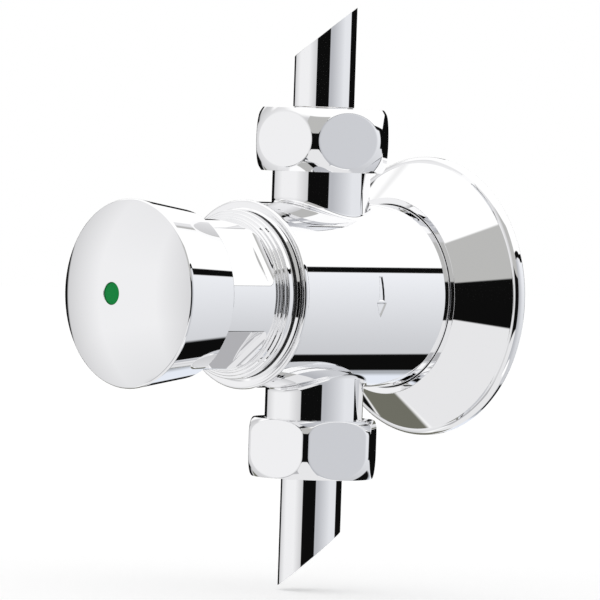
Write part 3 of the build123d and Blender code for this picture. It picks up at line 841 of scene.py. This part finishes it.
def make_valve_body():
    """Barrel with two filleted necks, a flow arrow, a turned front face and closed bores."""
    skin = Skin()
    walk, side_steps = rectangle_walk()
    row_angles = side_row_angles()
    for side in (1, -1):
        add_neck(skin, walk, side)
    for facing in (1, -1):
        add_side(skin, side_steps, row_angles, facing)

    upper = [side_angle + (math.pi - 2 * side_angle) * k / patch_steps for k in range(patch_steps + 1)]
    circle = row_angles[::-1] + upper
    circle += [math.pi - angle for angle in row_angles]
    circle += [2 * math.pi - angle for angle in reversed(upper)]
    collar_radius, collar_at, collar_bend_at, collar_face_at = 21.5, 58.4, 58.925, 59.45
    bend_middle, face_radius, bevel_radius, rim_radius = (21.325, 59.24), 20.5, 19.75, 19.3
    thread_radius, thread_at, chamber_radius, bulkhead_at = 17.0, 51.1, 16.5, 37.1
    stud_radius, stud_floor_at = 6.0, 13.1
    bend = arc((collar_radius, collar_bend_at), bend_middle, (face_radius, collar_face_at), steps=8)
    front = profile(
        (barrel_radius, barrel_skin_front_at),
        (collar_radius, collar_at, 0.15),
        *bend[:-1],
        (face_radius, collar_face_at, crisp),
        (bevel_radius, collar_face_at, crisp),
        (rim_radius, body_front_at, 0.12),
        (thread_radius, body_front_at, broken),
        (thread_radius, thread_at, crisp),
        (chamber_radius, thread_at, crisp),
        (chamber_radius, bulkhead_at, broken),
        (0, bulkhead_at),
    )
    back = profile(
        (0, stud_floor_at),
        (stud_radius, stud_floor_at, crisp),
        (stud_radius, barrel_back_at, broken),
        (barrel_radius, barrel_back_at, 0.4),
        (barrel_radius, barrel_skin_back_at),
    )
    skin.turned(front, circle, on_valve_axis)
    skin.turned(back, circle, on_valve_axis)
    skin.build("barrel_and_necks", "valve_body", "housing")


make_push_button()
make_button_insert()
make_bonnet()
make_gasket()
make_wall_flange()
make_oring()
make_return_spring()
make_union_nut("supply_nut", side=1, top=42.8, half_flats=14.5, neck_round=7.2, tube_round=7.2)
make_union_nut("flush_nut", side=-1, top=41.8, half_flats=14.0, neck_round=3.5, tube_round=5.5)
make_tube("supply_pipe", side=1, shoulder=43.1, reach=60.4, slope=0.83)
make_tube("flush_pipe", side=-1, shoulder=42.1, reach=60.6, slope=0.9)
make_valve_body()


# Stage


def direction(azimuth, elevation):
    """Unit vector from the object toward a place given in degrees; azimuth 0 is toward -Y."""
    a, e = math.radians(azimuth), math.radians(elevation)
    return Vector((math.sin(a) * math.cos(e), -math.cos(a) * math.cos(e), math.sin(e)))


view_azimuth, view_elevation, view_roll = 46.18, 1.54, 1.89
view_distance, lens_length, sensor_width = 1.377, 360.0, 36.0
shift_left, shift_down = 0.004016, 0.001125


def make_camera():
    """Camera at the photograph's place, with its long lens and slight roll."""
    back = direction(view_azimuth, view_elevation)
    level_right = (-back).cross(Vector((0, 0, 1))).normalized()
    level_up = level_right.cross(-back)
    roll = math.radians(view_roll)
    right = math.cos(roll) * level_right + math.sin(roll) * level_up
    up = -math.sin(roll) * level_right + math.cos(roll) * level_up
    data = bpy.data.cameras.new("camera")
    data.sensor_width = sensor_width
    data.lens = lens_length
    camera = bpy.data.objects.new("camera", data)
    crossing = Vector((0, -pipe_at * MM, 0))
    place = crossing + view_distance * back - shift_left * right - shift_down * up
    camera.matrix_world = Matrix((
        (right.x, up.x, back.x, place.x),
        (right.y, up.y, back.y, place.y),
        (right.z, up.z, back.z, place.z),
        (0, 0, 0, 1),
    ))
    bpy.context.scene.collection.objects.link(camera)
    bpy.context.scene.camera = camera


# Light that the world gives to matt surfaces
matt_light = 0.8


class Sky:
    """World background built from soft cards on a sphere of directions.

    Azimuths run from the camera's side to the right, and elevations from level upward, in degrees.
    """

    def __init__(self):
        world = bpy.data.worlds.new("studio")
        world.use_nodes = True
        bpy.context.scene.world = world
        self.tree = world.node_tree
        self.tree.nodes.clear()
        self.toward = self.tree.nodes.new("ShaderNodeTexCoord").outputs["Generated"]
        back = direction(view_azimuth, 0)
        across, along = self.dot(self.toward, (-back.y, back.x, 0)), self.dot(self.toward, back)
        self.azimuth = self.degrees(self.math("ARCTAN2", across, along))
        self.elevation = self.degrees(self.math("ARCSINE", self.dot(self.toward, (0, 0, 1))))

    def math(self, operation, *inputs):
        node = self.tree.nodes.new("ShaderNodeMath")
        node.operation = operation
        for socket, value in zip(node.inputs, inputs):
            if isinstance(value, (int, float)):
                socket.default_value = value
            else:
                self.tree.links.new(value, socket)
        return node.outputs[0]

    def dot(self, socket, vector):
        node = self.tree.nodes.new("ShaderNodeVectorMath")
        node.operation = "DOT_PRODUCT"
        self.tree.links.new(socket, node.inputs[0])
        node.inputs[1].default_value = vector
        return node.outputs["Value"]

    def degrees(self, socket):
        return self.math("MULTIPLY", socket, 180 / math.pi)

    def within(self, value, centre, half, soft, wrap=False):
        """Share that is 1 within half of the centre and falls to 0 over soft."""
        offset = self.math("SUBTRACT", value, centre)
        if wrap:
            offset = self.math("WRAP", offset, 180, -180)
        distance = self.math("ABSOLUTE", offset)
        node = self.tree.nodes.new("ShaderNodeMapRange")
        node.interpolation_type = "SMOOTHSTEP"
        node.inputs["From Min"].default_value = half + soft / 2
        node.inputs["From Max"].default_value = half - soft / 2
        self.tree.links.new(distance, node.inputs["Value"])
        return node.outputs["Result"]

    def mix(self, share, first, second):
        """Blend of two colours, each a tuple or a socket."""
        first_socket, second_socket, result_socket = 6, 7, 2
        node = self.tree.nodes.new("ShaderNodeMix")
        node.data_type = "RGBA"
        self.tree.links.new(share, node.inputs["Factor"])
        for number, value in ((first_socket, first), (second_socket, second)):
            socket = node.inputs[number]
            if isinstance(value, tuple):
                socket.default_value = (*value, 1)
            else:
                self.tree.links.new(value, socket)
        return node.outputs[result_socket]

    def ramp(self, low, high, limits, value=None):
        """Colour that changes from low to high between two elevations, or limits of another value."""
        node = self.tree.nodes.new("ShaderNodeMapRange")
        node.inputs["From Min"].default_value = limits[0]
        node.inputs["From Max"].default_value = limits[1]
        self.tree.links.new(value or self.elevation, node.inputs["Value"])
        return self.mix(node.outputs["Result"], low, high)

    def above_edge(self, azimuth, rise):
        """Degrees above the straight top edge of a panel that faces an azimuth, its middle up by rise."""
        facing = direction(view_azimuth + azimuth, 0)
        upward = Vector((0, 0, 1)) - math.tan(math.radians(rise)) * facing
        return self.degrees(self.math("ARCSINE", self.dot(self.toward, upward.normalized())))

    def card(self, base, colour, azimuths, heights, soft=2.0, height=None):
        """Lay a card of one colour over the base, between two azimuths and two heights in degrees."""
        low, high = azimuths
        bottom, top = heights
        share = self.within(self.azimuth, (low + high) / 2, (high - low) / 2, soft, wrap=True)
        upright = self.within(height or self.elevation, (bottom + top) / 2, (top - bottom) / 2, soft)
        return self.mix(self.math("MULTIPLY", share, upright), base, colour)

    def finish(self, seen_in_gloss):
        """White to the camera and soft white for matt surfaces; the cards show in gloss."""
        path = self.tree.nodes.new("ShaderNodeLightPath")
        glossy = self.math("MAXIMUM", path.outputs["Is Glossy Ray"], path.outputs["Is Transmission Ray"])
        tone = self.mix(glossy, (matt_light, matt_light, matt_light), seen_in_gloss)
        tone = self.mix(path.outputs["Is Camera Ray"], tone, (1.0, 1.0, 1.0))
        background = self.tree.nodes.new("ShaderNodeBackground")
        output = self.tree.nodes.new("ShaderNodeOutputWorld")
        self.tree.links.new(tone, background.inputs["Color"])
        self.tree.links.new(background.outputs["Background"], output.inputs["Surface"])


def make_studio():
    """White studio with grey panels and black flags: the bands that the chrome mirrors.

    A card covers the ones laid before it.
    """
    sky = Sky()
    black, white = (0.004, 0.004, 0.004), (1.05, 1.05, 1.05)
    dim, pale, all_round = (0.60, 0.60, 0.61), (0.82, 0.82, 0.83), (-180, 180)
    front_flag = (-31, 18)
    right_panel = sky.ramp((0.605, 0.615, 0.64), (0.89, 0.905, 0.94), (-44, 22))
    right_panel = sky.ramp((0.48, 0.49, 0.52), right_panel, (26, 78), sky.azimuth)
    left_panel = sky.ramp((0.73, 0.735, 0.745), (0.895, 0.895, 0.905), (-50, -15))
    left_panel = sky.ramp(left_panel, (0.80, 0.80, 0.81), (10, 55))
    left_panel = sky.ramp(left_panel, dim, (-62, -28), sky.azimuth)
    left_panel = sky.ramp(dim, left_panel, (-148, -105), sky.azimuth)

    # Panel on the right with a black strip along its slanting top edge
    edge = sky.above_edge(48, 32)
    tone = sky.card(white, right_panel, (15, 165), (-75, -2.5), 1.5, edge)
    tone = sky.card(tone, black, (20, 140), (-2.5, 2.5), 1, edge)

    # Panel on the left and the strips above and below it
    tone = sky.card(tone, left_panel, (-156, -26), (-50, 50), 10)
    tone = sky.card(tone, white, (-180, -126), (32, 60), 8)
    tone = sky.card(tone, (0.46, 0.46, 0.475), (-90, -31), (-62, -40), 4)

    # Low strips behind on the right, and the pale ground
    tone = sky.card(tone, (0.80, 0.84, 0.92), (140, 176), (-60, -14), 8)
    tone = sky.card(tone, (0.40, 0.42, 0.45), (140, 158), (-60, -20), 8)
    tone = sky.card(tone, black, (121, 150), (-50, -24), 3)
    tone = sky.card(tone, pale, all_round, (-95, -56), 4)

    # Black flag in front, pale below and grey above
    tone = sky.card(tone, pale, front_flag, (-60, -20), 2)
    tone = sky.card(tone, (0.50, 0.50, 0.49), front_flag, (13, 52), 2)
    tone = sky.card(tone, black, front_flag, (-20, 14), 1.5)

    # Black flags behind
    tone = sky.card(tone, black, (109, 180), (-8, 14), 1.5)
    tone = sky.card(tone, (0.16, 0.16, 0.13), (-180, -146), (-58, -20), 3)
    tone = sky.card(tone, black, (172, 217), (-18, 13), 3)
    sky.finish(tone)


def make_floor():
    """Pale floor just under the flush tube, left out of the mirror images.

    For the camera it glows a little, so that it is white wherever the object doesn't shade it.
    """
    half, gap, albedo, just_over_white = 2.0, 0.001, 0.85, 1.02
    height = cad_box[0][2] - gap
    mesh = bpy.data.meshes.new("floor")
    corners = [(-half, -half, height), (half, -half, height), (half, half, height), (-half, half, height)]
    mesh.from_pydata(corners, [], [(0, 1, 2, 3)])
    floor = bpy.data.objects.new("floor", mesh)
    bpy.context.scene.collection.objects.link(floor)
    material, tree, shader = node_tree("pale_floor")
    shader.inputs["Base Color"].default_value = (albedo, albedo, albedo, 1)
    shader.inputs["Roughness"].default_value = 0.9
    shader.inputs["Specular IOR Level"].default_value = 0.0
    path = tree.nodes.new("ShaderNodeLightPath")
    glow = tree.nodes.new("ShaderNodeEmission")
    glow.inputs["Strength"].default_value = just_over_white - albedo * matt_light
    lifted = tree.nodes.new("ShaderNodeAddShader")
    both = tree.nodes.new("ShaderNodeMixShader")
    tree.links.new(shader.outputs["BSDF"], lifted.inputs[0])
    tree.links.new(glow.outputs["Emission"], lifted.inputs[1])
    tree.links.new(path.outputs["Is Camera Ray"], both.inputs["Fac"])
    tree.links.new(shader.outputs["BSDF"], both.inputs[1])
    tree.links.new(lifted.outputs["Shader"], both.inputs[2])
    tree.links.new(both.outputs["Shader"], tree.nodes["Material Output"].inputs["Surface"])
    mesh.materials.append(material)
    floor.visible_glossy = False


make_camera()
make_studio()
make_floor()
bpy.context.scene.view_settings.view_transform = "Standard"
